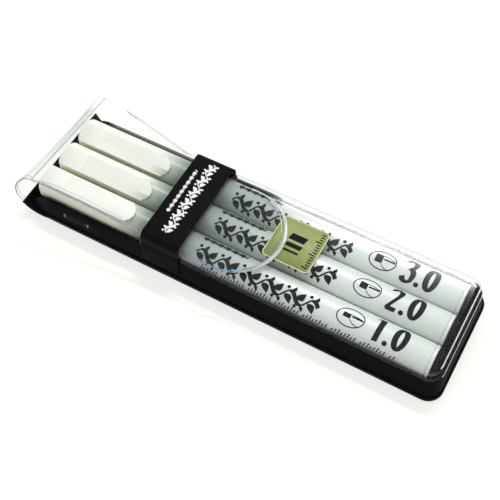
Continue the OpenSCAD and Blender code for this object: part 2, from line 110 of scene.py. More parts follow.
class Tree:
    """The node tree of a new material or world, with short calls."""

    def __init__(self, owner, output="OutputMaterial"):
        self.owner = owner
        owner.use_nodes = True
        self.tree = owner.node_tree
        self.tree.nodes.clear()
        self.out = self.add(output)

    def add(self, kind, **settings):
        node = self.tree.nodes.new("ShaderNode" + kind)
        for key, value in settings.items():
            setattr(node, key, value)
        return node

    def link(self, a, b):
        self.tree.links.new(a, b)

    def coords(self, stretch=(1, 1, 1)):
        """Object coordinates in millimetres."""
        tex = self.add("TexCoord")
        mapping = self.add("Mapping")
        mapping.inputs["Scale"].default_value = [s / MM for s in stretch]
        self.link(tex.outputs["Object"], mapping.inputs["Vector"])
        return mapping.outputs["Vector"]

    def noise(self, vector, scale, detail=3.0):
        node = self.add("TexNoise")
        node.inputs["Scale"].default_value = scale
        node.inputs["Detail"].default_value = detail
        node.inputs["Roughness"].default_value = 0.5
        self.link(vector, node.inputs["Vector"])
        return node.outputs["Fac"]

    def ramp(self, fac, low, high):
        """Colour from low to high, over the middle of the value's range."""
        node = self.add("ValToRGB")
        for stop, place, color in zip(node.color_ramp.elements, (0.3, 0.7), (low, high)):
            stop.position = place
            stop.color = (*color, 1)
        self.link(fac, node.inputs["Fac"])
        return node.outputs["Color"]

    def spread(self, fac, low, high, start=0.0, end=1.0):
        """Map a value from start..end to low..high."""
        node = self.add("MapRange")
        for key, value in (("From Min", start), ("From Max", end), ("To Min", low), ("To Max", high)):
            node.inputs[key].default_value = value
        self.link(fac, node.inputs["Value"])
        return node.outputs["Result"]

    def blend(self, fac, a, b):
        """Mix two colours by a value."""
        node = self.add("Mix", data_type="RGBA", blend_type="MIX")
        for socket, value in ((node.inputs[0], fac), (node.inputs[6], a), (node.inputs[7], b)):
            if isinstance(value, tuple):
                socket.default_value = (*value, 1)
            else:
                self.link(value, socket)
        return node.outputs[2]

    def times(self, a, b):
        node = self.add("Math", operation="MULTIPLY")
        self.link(a, node.inputs[0])
        self.link(b, node.inputs[1])
        return node.outputs[0]

    def mix_shader(self, fac, a, b):
        node = self.add("MixShader")
        self.link(fac, node.inputs[0])
        self.link(a.outputs[0], node.inputs[1])
        self.link(b.outputs[0], node.inputs[2])
        return node

    def bump(self, height, strength, distance):
        node = self.add("Bump")
        node.inputs["Strength"].default_value = strength
        node.inputs["Distance"].default_value = distance * MM
        self.link(height, node.inputs["Height"])
        return node.outputs["Normal"]

    def background_ray(self):
        """One for rays from the camera, and for those by which metal and glass show what is behind."""
        path = self.add("LightPath")
        seen = path.outputs["Is Camera Ray"]
        for kind in ("Is Glossy Ray", "Is Transmission Ray"):
            either = self.add("Math", operation="MAXIMUM")
            self.link(seen, either.inputs[0])
            self.link(path.outputs[kind], either.inputs[1])
            seen = either.outputs[0]
        return seen

    def done(self, shader):
        self.link(shader.outputs[0], self.out.inputs["Surface"])
        return self.owner


# painted shade on the caps: olive low down, grey towards the strap
CAP_OLIVE_PAINTED_SHADE, CAP_GREY_PAINTED_SHADE = (0.74, 0.80, 0.44), (0.17, 0.24, 0.19)
# painted shade on the barrels, towards the strap
SILVER_PAINTED_SHADE = (0.34, 0.39, 0.365)
# painted sheen on the far wall's inner top
PAINTED_SHEEN_GREY = (0.15, 0.175, 0.16)
DUST_GREY = (0.16, 0.16, 0.15)
DUST_SCALE = 0.35                       # dust cells per millimetre
FILM_ROUGH = 0.07


def plastic(name, low, high, rough, scale=0.6, grain=3.0, bump=0.08, depth=0.05,
            specular=0.5, metal=0.0, stretch=(1, 1, 1), tone=None, dust=0.0, milky=0.0):
    """Moulded or sheet plastic: mottled colour, uneven gloss and a fine surface grain.

    tone is a function that changes the colour by place. dust is the share of the surface that
    carries pale specks, and milky is how much light soaks through the plastic.
    """
    t = Tree(bpy.data.materials.new(name))
    vec = t.coords(stretch)
    color = t.ramp(t.noise(vec, scale), low, high)
    if tone:
        parts = t.add("SeparateXYZ")
        t.link(t.coords(), parts.inputs[0])
        color = tone(t, *parts.outputs, color)
    if dust:
        cells = t.add("TexVoronoi")
        cells.inputs["Scale"].default_value = DUST_SCALE
        t.link(vec, cells.inputs["Vector"])
        speck = t.spread(cells.outputs["Distance"], 1.0, 0.0, dust, dust * 1.6)
        color = t.blend(speck, color, DUST_GREY)
    bsdf = t.add("BsdfPrincipled")
    t.link(color, bsdf.inputs["Base Color"])
    t.link(t.spread(t.noise(vec, scale * 0.4), rough * 0.85, min(1.0, rough * 1.2), 0.3, 0.7),
           bsdf.inputs["Roughness"])
    bsdf.inputs["Specular IOR Level"].default_value = specular
    bsdf.inputs["Metallic"].default_value = metal
    if milky:
        bsdf.inputs["Subsurface Weight"].default_value = milky
        bsdf.inputs["Subsurface Radius"].default_value = (1.0, 1.0, 0.6)
        bsdf.inputs["Subsurface Scale"].default_value = 1.2 * MM
    t.link(t.bump(t.noise(vec, grain, 2.0), bump, depth), bsdf.inputs["Normal"])
    return t.done(bsdf)


def cap_painted_shade(t, x, y, z, color):
    """Painted shade: olive low down on the caps, standing in for light through the plastic and between
    the caps, and grey past the clips' ends towards the strap.
    """
    # painted shade: the caps' lower sides turn olive
    color = t.blend(t.spread(z, 0.0, 1.0, 5.5, 12.0), CAP_OLIVE_PAINTED_SHADE, color)
    # painted shade: grey past the clips' ends towards the strap, on the body under the clip
    shade_past_clip = t.spread(x, 0.0, 0.9, CAP_CLIP_END - 6, CAP_CLIP_END + 4)
    under_clip = t.spread(z, 1.0, 0.0, CAP_BODY_TOP, CAP_BODY_TOP + 0.2)
    return t.blend(t.times(shade_past_clip, under_clip), color, CAP_GREY_PAINTED_SHADE)


def barrel_painted_shade(t, x, y, z, color):
    """Painted shade: the silver is darker from past the label towards the strap and the cap end."""
    return t.blend(t.spread(x, 0.0, 1.0, STRAP_HIGH[0] - 2, LABEL_HIGH[0] + 9), SILVER_PAINTED_SHADE, color)


def wall_painted_sheen(t, x, y, z, color):
    """Painted sheen: the far wall's inner face is grey along its top, from the mouth to the strap."""
    outward = t.add("SeparateXYZ")
    t.link(t.add("NewGeometry").outputs["Normal"], outward.inputs[0])
    inner = t.spread(outward.outputs["Y"], 1.0, 0.0, 0.2, 0.6)
    high = t.times(t.spread(z, 0.0, 1.0, 5.0, 6.5), t.spread(y, 0.0, 1.0, 12.0, 14.0))
    along = t.times(t.spread(x, 0.0, 1.0, -64.0, -60.0),
                    t.spread(x, 1.0, 0.0, STRAP_LOW[0], STRAP_HIGH[0]))
    return t.blend(t.times(inner, t.times(high, along)), color, PAINTED_SHEEN_GREY)


def film(name, tint, edge_tint, mirror, glance, haze, haze_color, wavy=0.4):
    """Clear vinyl: see-through, darker and shinier at glancing angles, with a breath of haze.

    mirror and glance are its shine seen square on and seen along it, and wavy its unevenness.
    """
    t = Tree(bpy.data.materials.new(name))
    vec = t.coords()
    facing = t.add("LayerWeight")
    facing.inputs["Blend"].default_value = 0.5
    steep = t.add("Math", operation="POWER")
    steep.inputs[1].default_value = 4.0
    t.link(facing.outputs["Facing"], steep.inputs[0])
    clear = t.add("BsdfTransparent")
    t.link(t.blend(steep.outputs[0], tint, edge_tint), clear.inputs["Color"])
    gloss = t.add("BsdfGlossy")
    gloss.inputs["Color"].default_value = (1, 1, 1, 1)
    gloss.inputs["Roughness"].default_value = FILM_ROUGH
    t.link(t.bump(t.noise(vec, 0.05, 2.0), 0.3, wavy), gloss.inputs["Normal"])
    dull = t.add("BsdfDiffuse")
    dull.inputs["Color"].default_value = (*haze_color, 1)
    cloud = t.spread(t.noise(vec, 0.12), haze * 0.7, haze * 1.3, 0.35, 0.7)
    body = t.mix_shader(cloud, clear, dull)
    return t.done(t.mix_shader(t.spread(steep.outputs[0], mirror, glance), body, gloss))


def black_sheets():
    black = dict(low=(0.003, 0.003, 0.0032), high=(0.005, 0.005, 0.0053), specular=0.035)
    dusty = dict(rough=0.46, scale=0.5, grain=3.5, bump=0.25, depth=0.06, dust=0.028, **black)
    return {
        "vinyl": plastic("black_vinyl", **dusty),
        "wall": plastic("black_wall", tone=wall_painted_sheen, **dusty),
        "band": plastic("black_band", rough=0.48, scale=0.4, grain=5.0, bump=0.12,
                        depth=0.04, **black),
    }


def pen_plastics():
    return {
        "plug": plastic("black_plug", (0.002, 0.0025, 0.003), (0.004, 0.005, 0.006), 0.45,
                        scale=0.9, grain=4.0, bump=0.1, depth=0.03, specular=0.05),
        "barrel": plastic("silver_barrel", (0.73, 0.775, 0.74), (0.77, 0.81, 0.78), 0.34,
                          scale=0.7, grain=2.5, bump=0.05, depth=0.03, metal=0.12,
                          stretch=(0.15, 1, 1), tone=barrel_painted_shade),
        "cap": plastic("cream_cap", (0.95, 0.97, 0.89), (0.965, 0.98, 0.92), 0.34,
                       scale=0.35, grain=1.6, bump=0.05, depth=0.03,
                       tone=cap_painted_shade, milky=0.25),
        "holder": plastic("black_holder", (0.01, 0.01, 0.011), (0.018, 0.018, 0.02), 0.35,
                          scale=0.8),
        "felt": plastic("inked_felt", (0.02, 0.02, 0.025), (0.05, 0.05, 0.06), 0.9,
                        scale=1.6, grain=6.0, bump=0.5, depth=0.1, specular=0.1,
                        stretch=(0.3, 1, 1)),
    }


def label_and_prints():
    return {
        "label": plastic("olive_label", (0.27, 0.33, 0.105), (0.335, 0.39, 0.14), 0.42,
                         scale=0.5, grain=2.0, bump=0.06, depth=0.02, specular=0.3),
        "border": plastic("label_edge", (0.62, 0.66, 0.36), (0.70, 0.72, 0.44), 0.5, scale=1.5),
        "weld": plastic("weld_line", (0.03, 0.03, 0.03), (0.07, 0.07, 0.068), 0.4, scale=1.5),
        "ink": plastic("print_black", (0.002, 0.004, 0.006), (0.005, 0.008, 0.011), 0.5,
                       scale=1.5, grain=5.0, bump=0.04, depth=0.02, specular=0.06),
        "pale_ink": plastic("print_white", (0.76, 0.77, 0.75), (0.86, 0.87, 0.85), 0.5,
                            scale=1.5, grain=5.0, bump=0.04, depth=0.02),
    }


def films():
    return {
        "front": film("clear_front_film", (0.99, 0.995, 0.993), (0.82, 0.87, 0.87),
                      0.0078, 0.16, 0.003, (0.8, 0.85, 0.83), wavy=0.05),
        "end": film("end_film", (0.95, 0.945, 0.93), (0.78, 0.80, 0.80),
                    0.004, 0.22, 0.022, (0.45, 0.40, 0.33)),
        "frost": film("stretched_film", (0.985, 0.99, 0.987), (0.82, 0.86, 0.86),
                      0.007, 0.45, 0.008, (0.84, 0.86, 0.83), wavy=0.08),
        "flap": film("clear_flap_film", (0.987, 0.991, 0.985), (0.80, 0.86, 0.87),
                     0.0, 0.35, 0.006, (0.8, 0.85, 0.86)),
        # painted glare: pale yellow haze on the tongue's rim
        "glare": film("rim_painted_glare", (0.97, 0.97, 0.93), (0.80, 0.85, 0.86),
                      0.06, 0.4, 0.46, (0.97, 0.97, 0.80)),
    }


def sheet_edges():
    return {
        "edge": plastic("cut_edge", (0.23, 0.30, 0.35), (0.36, 0.43, 0.48), 0.3, scale=1.2),
        "blue": plastic("blue_cut_edge", (0.05, 0.16, 0.38), (0.11, 0.26, 0.50), 0.3, scale=1.2),
        "brown_edge": plastic("pale_brown_edge", (0.42, 0.37, 0.34), (0.55, 0.50, 0.47), 0.3,
                              scale=1.2),
        "line": plastic("lit_edge", (0.42, 0.43, 0.41), (0.62, 0.63, 0.60), 0.3, scale=0.6),
        # pale cut edges, and a painted highlight along the tongue's rim
        "pale_edge": plastic("pale_edge_and_highlight", (0.60, 0.65, 0.67), (0.78, 0.82, 0.83), 0.3,
                             scale=1.2),
    }


MAT = {**black_sheets(), **pen_plastics(), **label_and_prints(), **films(), **sheet_edges()}


# Mesh helpers

def mesh_piece(name, verts, faces, material, body=None, smooth=False, merge=False):
    """A mesh from points in millimetres. It rides on body, or is left loose."""
    mesh = bpy.data.meshes.new(name)
    mesh.from_pydata([(x * MM, y * MM, z * MM) for x, y, z in verts], [], faces)
    if merge:
        bm = bmesh.new()
        bm.from_mesh(mesh)
        bmesh.ops.remove_doubles(bm, verts=bm.verts, dist=1e-6)
        bmesh.ops.recalc_face_normals(bm, faces=bm.faces)
        bm.to_mesh(mesh)
        bm.free()
    mesh.materials.append(MAT[material])
    mesh.polygons.foreach_set("use_smooth", [smooth] * len(mesh.polygons))
    mesh.update()
    obj = bpy.data.objects.new(name, mesh)
    bpy.context.scene.collection.objects.link(obj)
    if body:
        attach(obj, body)
    return obj


def grid_faces(rows, cols, start=0, flip=False):
    """Quads of a grid of points laid row after row."""
    faces = []
    for i in range(rows - 1):
        for j in range(cols - 1):
            a = start + i * cols + j
            quad = (a, a + 1, a + cols + 1, a + cols)
            faces.append(quad[::-1] if flip else quad)
    return faces


def thicken(obj, depth, soft=0.1):
    """Give an open sheet its thickness, inwards, with slightly rounded edges."""
    solid = obj.modifiers.new("thickness", "SOLIDIFY")
    solid.thickness = depth * MM
    solid.offset = -1
    solid.use_even_offset = True
    if soft:
        soften(obj, soft, 2, 60)


def soften(obj, width, segments=2, angle=35):
    """Round the edges a little."""
    bevel = obj.modifiers.new("soft_edges", "BEVEL")
    bevel.width = width * MM
    bevel.segments = segments
    bevel.limit_method = "ANGLE"
    bevel.angle_limit = math.radians(angle)
    bevel.harden_normals = True


def bend(p, t):
    """Point of a curve from p[0] to p[3] that leans towards p[1] and p[2]."""
    return tuple((1 - t) ** 3 * a + 3 * (1 - t) ** 2 * t * b + 3 * (1 - t) * t * t * c + t ** 3 * d
                 for a, b, c, d in zip(*p))


def curve(points, n=8):
    """A smooth path through the points."""
    out = []
    for i in range(len(points) - 1):
        p0, p1 = points[max(0, i - 1)], points[i]
        p2, p3 = points[i + 1], points[min(len(points) - 1, i + 2)]
        for k in range(n):
            t = k / n
            out.append(tuple(
                0.5 * (2 * b + (c - a) * t + (2 * a - 5 * b + 4 * c - d) * t * t
                       + (3 * b - a - 3 * c + d) * t ** 3)
                for a, b, c, d in zip(p0, p1, p2, p3)))
    out.append(points[-1])
    return out


def bar(half_width, half_height, side=(0, 1, 0), up=(0, 0, 1)):
    """Section of a thin line: four corners as offsets from its path."""
    return [tuple(a * w + b * h for a, b in zip(side, up))
            for w, h in ((-half_width, -half_height), (half_width, -half_height),
                         (half_width, half_height), (-half_width, half_height))]


def tube_faces(rows, n):
    """Faces of a closed section of n points laid row after row, with both ends shut."""
    faces = []
    for i in range(rows - 1):
        for k in range(n):
            j = (k + 1) % n
            faces.append((n * i + k, n * i + j, n * i + n + j, n * i + n + k))
    last = n * (rows - 1)
    return faces + [tuple(range(n))[::-1], tuple(range(last, last + n))]


def strip(name, path, across, material, body=None):
    """A thin bar along a path of points. across gives its section at each point, as a loop."""
    verts = []
    for i, point in enumerate(path):
        verts += [tuple(p + d for p, d in zip(point, off)) for off in across(i)]
    faces = tube_faces(len(path), len(across(0)))
    return mesh_piece(name, verts, faces, material, body, merge=True)


# Prints

class Ink:
    """Strokes of a broad-edged pen, gathered as one thin mesh on a surface."""

    def __init__(self, place):
        self.place, self.verts, self.faces = place, [], []

    def sheet(self, rows):
        self.faces += grid_faces(len(rows), len(rows[0]), len(self.verts))
        for row in rows:
            self.verts += [self.place(*p) for p in row]

    def stroke(self, path, width, angle=40.0, thin=0.22):
        """A stroke along a path, as thick as the pen's edge makes it at each heading."""
        ca, sa = math.cos(math.radians(angle)), math.sin(math.radians(angle))
        rows = []
        for i, (x, y) in enumerate(path):
            a, b = path[max(0, i - 1)], path[min(len(path) - 1, i + 1)]
            dx, dy = b[0] - a[0], b[1] - a[1]
            size = math.hypot(dx, dy) or 1
            dx, dy = dx / size, dy / size
            across = -ca * dy + sa * dx
            half = max(thin, abs(across) * width) / 2
            slide = (ca * dx + sa * dy) * width / 2 * max(-1, min(1, across * 3))
            rows.append([(x - dy * half * t + dx * slide * t, y + dx * half * t + dy * slide * t)
                         for t in (-1, -0.5, 0, 0.5, 1)])
        self.sheet(rows)

    def leaf(self, x, y, length, width, angle, curl=0.14):
        """A pointed leaf that grows from x, y and curls a little."""
        ca, sa = math.cos(math.radians(angle)), math.sin(math.radians(angle))
        rows = []
        for i in range(10):
            s = i / 9
            side = curl * length * math.sin(math.pi * s)
            half = width / 2 * math.sin(math.pi * s ** 0.75)
            row = [(length * s, side + half * t) for t in (-1, -0.5, 0, 0.5, 1)]
            rows.append([(x + ca * u - sa * w, y + sa * u + ca * w) for u, w in row])
        self.sheet(rows)

    def block(self, x0, y0, x1, y1, skew=0.0, n=4):
        self.sheet([[(x0 + (x1 - x0) * k / n + skew * (y1 - y0) * i / n, y0 + (y1 - y0) * i / n)
                     for k in range(n + 1)] for i in range(n + 1)])

    def diamond(self, x, y, r):
        self.sheet([[(x + r * (s + t - 1), y + r * (t - s)) for t in (0, 0.5, 1)]
                    for s in (0, 0.5, 1)])

    def disc(self, x, y, r):
        self.sheet([[(x + s * r * math.cos(math.tau * k / 24),
                      y + s * r * math.sin(math.tau * k / 24)) for k in range(25)]
                    for s in (0.0, 0.5, 1.0)])

    def ring(self, x, y, rx, ry, line, shear=0.0):
        self.sheet([[(x + (rx + s * line) * math.cos(a) + shear * ry * math.sin(a),
                      y + (ry + s * line) * math.sin(a))
                     for a in (math.tau * k / 64 for k in range(65))] for s in (-0.5, 0.5)])

    def make(self, name, material, body):
        return mesh_piece(name, self.verts, self.faces, material, body)


def vine(ink, x0, x1, y, size):
    """A leaf scroll: a waving stem, with a plump leaf inside each bow and a berry outside."""
    step, high = 3.4 * size, 1.35 * size
    bows = int((x1 - x0) / step)
    stem = [(x0 + step * k / 10, y + high * math.sin(math.pi * k / 10))
            for k in range(10 * bows + 1)]
    ink.stroke(stem, 1.2 * size, 48, 0.5 * size)
    for k in range(bows):
        up = 1 if k % 2 == 0 else -1
        x = x0 + step * k
        ink.leaf(x + 0.1 * step, y, 3.1 * size, 1.9 * size, -up * 48, 0.16 * up)
        ink.leaf(x + 0.62 * step, y + up * high, 1.8 * size, 1.05 * size, up * 70, -0.1 * up)
        ink.disc(x + 0.18 * step, y + up * 2.1 * size, 0.5 * size)


def digit(ink, char, x, y, w=3.6, h=8.2, nib=1.75):
    """A size number with its lower left corner at x, y."""
    lean = 0.05

    def at(points, n=8):
        return curve([(x + w * u + lean * h * v, y + h * v) for u, v in points], n)

    if char == "0":
        ink.stroke([(x + w * (0.5 + 0.40 * math.cos(a)) + lean * h * (0.5 + 0.45 * math.sin(a)),
                     y + h * (0.5 + 0.45 * math.sin(a)))
                    for a in (math.radians(8 * k - 90) for k in range(47))], nib, 12, 1.0)
    elif char == "1":
        ink.stroke(at([(0.58, 0.0), (0.58, 0.5), (0.58, 1.0)]), nib, 8, 0.5)
        ink.stroke(at([(0.10, 0.90), (0.30, 0.94), (0.55, 0.965)], 5), 0.8, 60, 0.5)
    elif char == "2":
        ink.stroke(at([(0.14, 0.80), (0.24, 0.92), (0.50, 0.96), (0.78, 0.89), (0.84, 0.74),
                       (0.72, 0.56), (0.45, 0.32), (0.14, 0.08)]), nib, 25, 1.0)
        ink.stroke(at([(0.08, 0.065), (0.5, 0.065), (0.94, 0.065)]), nib * 0.8, 80, 1.0)
    elif char == "3":
        ink.stroke(at([(0.12, 0.83), (0.25, 0.93), (0.50, 0.96), (0.78, 0.89), (0.82, 0.74),
                       (0.68, 0.60), (0.42, 0.55)]), nib, 25, 1.0)
        ink.stroke(at([(0.42, 0.55), (0.76, 0.50), (0.90, 0.32), (0.82, 0.13), (0.52, 0.035),
                       (0.22, 0.06), (0.06, 0.20)]), nib, 25, 1.0)
    elif char == ".":
        ink.disc(x, y + 0.75, 0.78)


def nib_sign(ink, x, y, width):
    """A ring with a chisel nib and the line that it draws."""
    ink.ring(x, y, 4.25, 2.95, 0.34, shear=0.12)
    left, half = x - 2.5, 0.5 + 0.28 * width
    ink.block(left, y - half + 0.3, left + 2.4, y + half + 0.3)
    ink.block(left + 2.7, y + half * 0.2, left + 6.4, y + half * 0.2 + 0.55)
    ink.stroke([(left + 2.4, y + half + 0.25), (left + 4.4, y + half + 0.1),
                (left + 6.3, y + half * 0.75)], 0.26, 90, 0.2)
    ink.stroke([(left + 2.4, y - half + 0.1), (left + 3.6, y - half - 0.75),
                (left + 5.3, y - half - 1.15)], 0.26, 90, 0.2)


# Places along the barrels, from the strap's right edge
SCROLL = (4.2, 49.0)
SMALL_ROW, SMALL_PITCH = (4.8, 21.5), 2.6
FINE_ROW, FINE_PITCH = (6.9, 73.5), 1.05
SIGN_AT, NUMBER_AT = 56.4, 63.2
POINT_STEP, ZERO_STEP = 5.2, 7.0        # from a number's start to its point and its zero
# Places round the barrels, as arcs from the top, far side up
PRINT_TURN = {1: 0.1, 2: 0.0, 3: -0.6}  # how far each pen's whole print is turned
SCROLL_V, SIGN_V, NUMBER_V, SMALL_V = -2.6, -0.8, -4.2, 3.4
FINE_V = {1: -6.6, 2: -9.2, 3: -9.2}
SCROLL_SIZE = 1.13
PRINT_LIFT = 0.03                       # how far a print stands off what it is on
RIM_REACH, RIM_DEPTH = 1.15, 0.44       # length and thickness of the barrel's rolled end


def barrel_place(pen):
    """Place on a pen, from a length along it and an arc round it."""
    def place(x, v):
        a = (v + PRINT_TURN[pen]) / PEN_R
        r = PEN_R + PRINT_LIFT
        return (STRAP_HIGH[0] + x, PEN_Y[pen] + r * math.sin(a), PEN_Z + r * math.cos(a))
    return place


def print_barrel(pen):
    """Leaf scroll, a row of diamonds, a row of fine ticks, the nib's sign and its size."""
    body, slot, place = f"pen_{pen}", "barrel", barrel_place(pen)
    ink = Ink(place)
    vine(ink, *SCROLL, SCROLL_V, SCROLL_SIZE)
    ink.make(f"leaf_scroll_{pen}", "ink", body)

    ink = Ink(place)
    for k in range(int((SMALL_ROW[1] - SMALL_ROW[0]) / SMALL_PITCH)):
        x = SMALL_ROW[0] + SMALL_PITCH * k
        ink.diamond(x, SMALL_V, 1.35)
        ink.block(x + 1.05, SMALL_V - 0.9, x + 1.65, SMALL_V + 0.9, 0.2)
    ink.make(f"diamond_row_{pen}", "ink", body)

    ink = Ink(place)
    for k in range(int((FINE_ROW[1] - FINE_ROW[0]) / FINE_PITCH)):
        if k % 9 != 6:                  # a gap after every eight ticks
            x = FINE_ROW[0] + FINE_PITCH * k
            low, tall = FINE_V[pen] - 0.9, (1.9, 1.3, 1.6)[k % 3]
            ink.block(x, low, x + 0.5, low + tall, 0.3, 2)
    ink.make(f"fine_row_{pen}", "ink", body)

    ink = Ink(place)
    nib_sign(ink, SIGN_AT, SIGN_V, pen)
    ink.make(f"nib_sign_{pen}", "ink", body)

    ink = Ink(place)
    digit(ink, str(pen), NUMBER_AT, NUMBER_V)
    digit(ink, ".", NUMBER_AT + POINT_STEP, NUMBER_V - 0.1)
    digit(ink, "0", NUMBER_AT + ZERO_STEP, NUMBER_V)
    ink.make(f"size_number_{pen}", "ink", body)


def barrel_rim(pen):
    """The barrel's rolled end, which laps a little over the tail plug's collar."""
    start, body = BARREL_HIGH[0] - 0.05, f"pen_{pen}"
    section = [(0.0, PEN_R - 0.01), (RIM_REACH - 0.3, PEN_R - 0.01), (RIM_REACH - 0.08, PEN_R - 0.1),
               (RIM_REACH, PEN_R - 0.25), (RIM_REACH, PEN_R - RIM_DEPTH), (0.0, PEN_R - RIM_DEPTH)]
    turns = [math.tau * k / 64 for k in range(65)]
    verts = [(start + x, PEN_Y[pen] + r * math.sin(a), PEN_Z + r * math.cos(a))
             for a in turns for x, r in section + section[:1]]
    mesh_piece(f"barrel_rim_{pen}", verts, grid_faces(len(turns), len(section) + 1), "barrel",
               body, smooth=True, merge=True)


STRAP_SCROLL_IN = 7.2                   # from the strap's left edge to its leaf scroll
STRAP_SCROLL = (-13.8, 15.8)            # from end to end along Y
STRAP_SCROLL_SIZE = 0.72
STRAP_ROW, STRAP_ROW_UP = -6.2, 3.9     # the diamonds' start along Y, and distance from the scroll
STRAP_DIAMONDS, STRAP_PITCH = 9, 2.0


def print_strap():
    """White print: a leaf scroll across the case, and a row of diamonds on the caps' side."""
    left, top = STRAP_LOW[0], STRAP_HIGH[2] + PRINT_LIFT
    ink = Ink(lambda along, up: (left + STRAP_SCROLL_IN - up, along, top))
    vine(ink, *STRAP_SCROLL, 0.0, STRAP_SCROLL_SIZE)
    for k in range(STRAP_DIAMONDS):
        along = STRAP_ROW + STRAP_PITCH * k
        ink.diamond(along, STRAP_ROW_UP, 0.8)
        ink.block(along + 0.85, STRAP_ROW_UP - 0.5, along + 1.15, STRAP_ROW_UP + 0.5, 0.2)
    ink.make("strap_print", "pale_ink", "case")


LABEL_R = 1.6                           # rounding of the label's corners
BARS_X, BARS_Y = (4.9, 10.3), 4.4       # from the label's low corner
BAR_WIDTHS, BAR_GAP = (0.8, 1.6, 2.4), 1.0
TICKS, TICKS_Y = 14, 1.5
TICK_X, LONG_TICK_X, TICK_END = 14.0, 13.2, 15.2


def label_border():
    """The label's pale cut edge."""
    half_x = (LABEL_HIGH[0] - LABEL_LOW[0]) / 2
    half_y = (LABEL_HIGH[1] - LABEL_LOW[1]) / 2
    ink = Ink(lambda x, y: (LABEL_LOW[0] + half_x + x, LABEL_LOW[1] + half_y + y,
                            LABEL_HIGH[2] + 0.01))
    rows = []
    for inset in (0.02, 0.3):
        r = LABEL_R - inset
        row = []
        for k in range(4):
            cx = (half_x - LABEL_R) * (1 if k in (0, 3) else -1)
            cy = (half_y - LABEL_R) * (1 if k < 2 else -1)
            row += [(cx + r * math.cos(a), cy + r * math.sin(a))
                    for a in (math.radians(90 * k + 11.25 * n) for n in range(9))]
        rows.append(row + row[:1])
    ink.sheet(rows)
    ink.make("label_border", "border", "case")


def print_label():
    """Three bars as broad as the three nibs, and a ruler's ticks along the end."""
    ink = Ink(lambda x, y: (LABEL_LOW[0] + x, LABEL_LOW[1] + y, LABEL_HIGH[2] + 0.012))
    y = BARS_Y
    for width in BAR_WIDTHS:
        ink.block(BARS_X[0], y, BARS_X[1], y + width, 0.25)
        y += width + BAR_GAP
    for k in range(TICKS):
        start = LONG_TICK_X if k % 5 == 0 else TICK_X
        ink.block(start, TICKS_Y + k, TICK_END, TICKS_Y + 0.45 + k)
    ink.make("label_print", "ink", "case")


# Strap

STRAP_R = 2.3                           # rounding of its shoulders
STRAP_LEAN = 1.55                       # how far its legs lean in from foot to shoulder
STRAP_T = 0.35


def strap_outline():
    """The band's outer line across the case, as (y, z), from the near foot to the far foot."""
    top, foot = STRAP_HIGH[2], STRAP_LOW[2]
    half_foot = STRAP_HIGH[1] - 0.3
    side = half_foot - STRAP_LEAN
    leg = curve([(half_foot, foot), (half_foot - 0.9, foot + 5.7), (side + 0.15, top - 4.4),
                 (side, top - STRAP_R)], 8)
    turn = [(side - STRAP_R + STRAP_R * math.cos(a), top - STRAP_R + STRAP_R * math.sin(a))
            for a in (math.radians(9 * k) for k in range(1, 11))]
    half = leg + turn
    flat = [(half[-1][0] * (1 - k / 6), top) for k in range(1, 6)]
    right = half + flat
    return [(-y, z) for y, z in right] + [(0.0, top)] + right[::-1]


def add_strap():
    """The black band, a little uneven along its edges."""
    line = strap_outline()
    cols = 15
    verts = []
    for y, z in line:
        for k in range(cols):
            s = k / (cols - 1)
            wander = 0.12 * math.sin(y * 0.35 + 0.6) * (1 - abs(2 * s - 1) * 0.4)
            verts.append((STRAP_LOW[0] + (STRAP_HIGH[0] - STRAP_LOW[0]) * s + wander * (s - 0.5),
                          y, z))
    band = mesh_piece("strap_band", verts, grid_faces(len(line), cols), "band",
                      "case", smooth=True)
    thicken(band, STRAP_T, 0.1)
    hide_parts("strap")


MOUTH_MARK = (-56.9, 9.2, 4.3, 1.2)     # start and length along X, height and tallness
WELD_EDGE = 0.6                         # flange round the wall's foot
MARK_LIFT = 0.05                        # how far the mark stands off the wall


def wall_place(x, up):
    """Place on the near wall: along X, and up the leaning wall."""
    low, high = box("side_wall")
    foot = high[1] - WELD_EDGE
    rise = (up - low[2]) / (high[2] - low[2])
    return (x, -(foot + (FRONT_HIGH[1] - foot) * rise) - MARK_LIFT, up)


def add_weld_mark():
    """The small closed weld near the mouth: a thin raised outline, with pale specks painted at its
    ends as glints.
    """
    start, length, low, tall = MOUTH_MARK
    ink = Ink(wall_place)
    ink.block(start, low, start + length, low + 0.14)
    ink.block(start, low + tall, start + length, low + tall + 0.12)
    ink.make("weld_mark", "weld", "case")
    # painted glints: pale specks at the ends of the weld mark
    ink = Ink(wall_place)
    for x in (start, start + length):
        ink.disc(x, low + 0.25, 0.2)
        ink.disc(x + 0.15, low + tall, 0.28)
        ink.disc(x - 0.5, low + tall - 0.2, 0.12)
    ink.make("weld_glint_specks", "pale_ink", "case")


# Clear front

FLANGE = 0.8                            # width of the clear front's welded flange
FLANGE_UP = 0.33                        # how far the drawn flange lies over the solid's foot
EDGE_R = 1.6                            # rounding between its top and its sides
CORNER_R = 3.7                          # rounding of its corners seen from above
FRONT_T = 0.25
SIDE_POINTS, TURN_POINTS, END_POINTS = 40, 11, 12     # of a long side, a corner and the end


def case_outline(offset, z):
    """Open outline round the clear front, from the near mouth by the end to the far mouth."""
    half = FRONT_HIGH[1] - FLANGE + offset
    right = FRONT_HIGH[0] - FLANGE - 0.1 + offset * 1.1
    r = max(0.2, CORNER_R + offset)
    left = FRONT_LOW[0]
    side = [(left + (right - r - left) * k / SIDE_POINTS, -half) for k in range(SIDE_POINTS)]
    turn = [(right - r + r * math.sin(a), -half + r - r * math.cos(a))
            for a in (math.radians(90 * k / (TURN_POINTS - 1)) for k in range(TURN_POINTS))]
    near = side + turn
    end = [(right, (half - r) * (2 * k / END_POINTS - 1)) for k in range(1, END_POINTS)]
    far = [(x, -y) for x, y in reversed(near)]
    return [(x, y, z) for x, y in near + end + far]


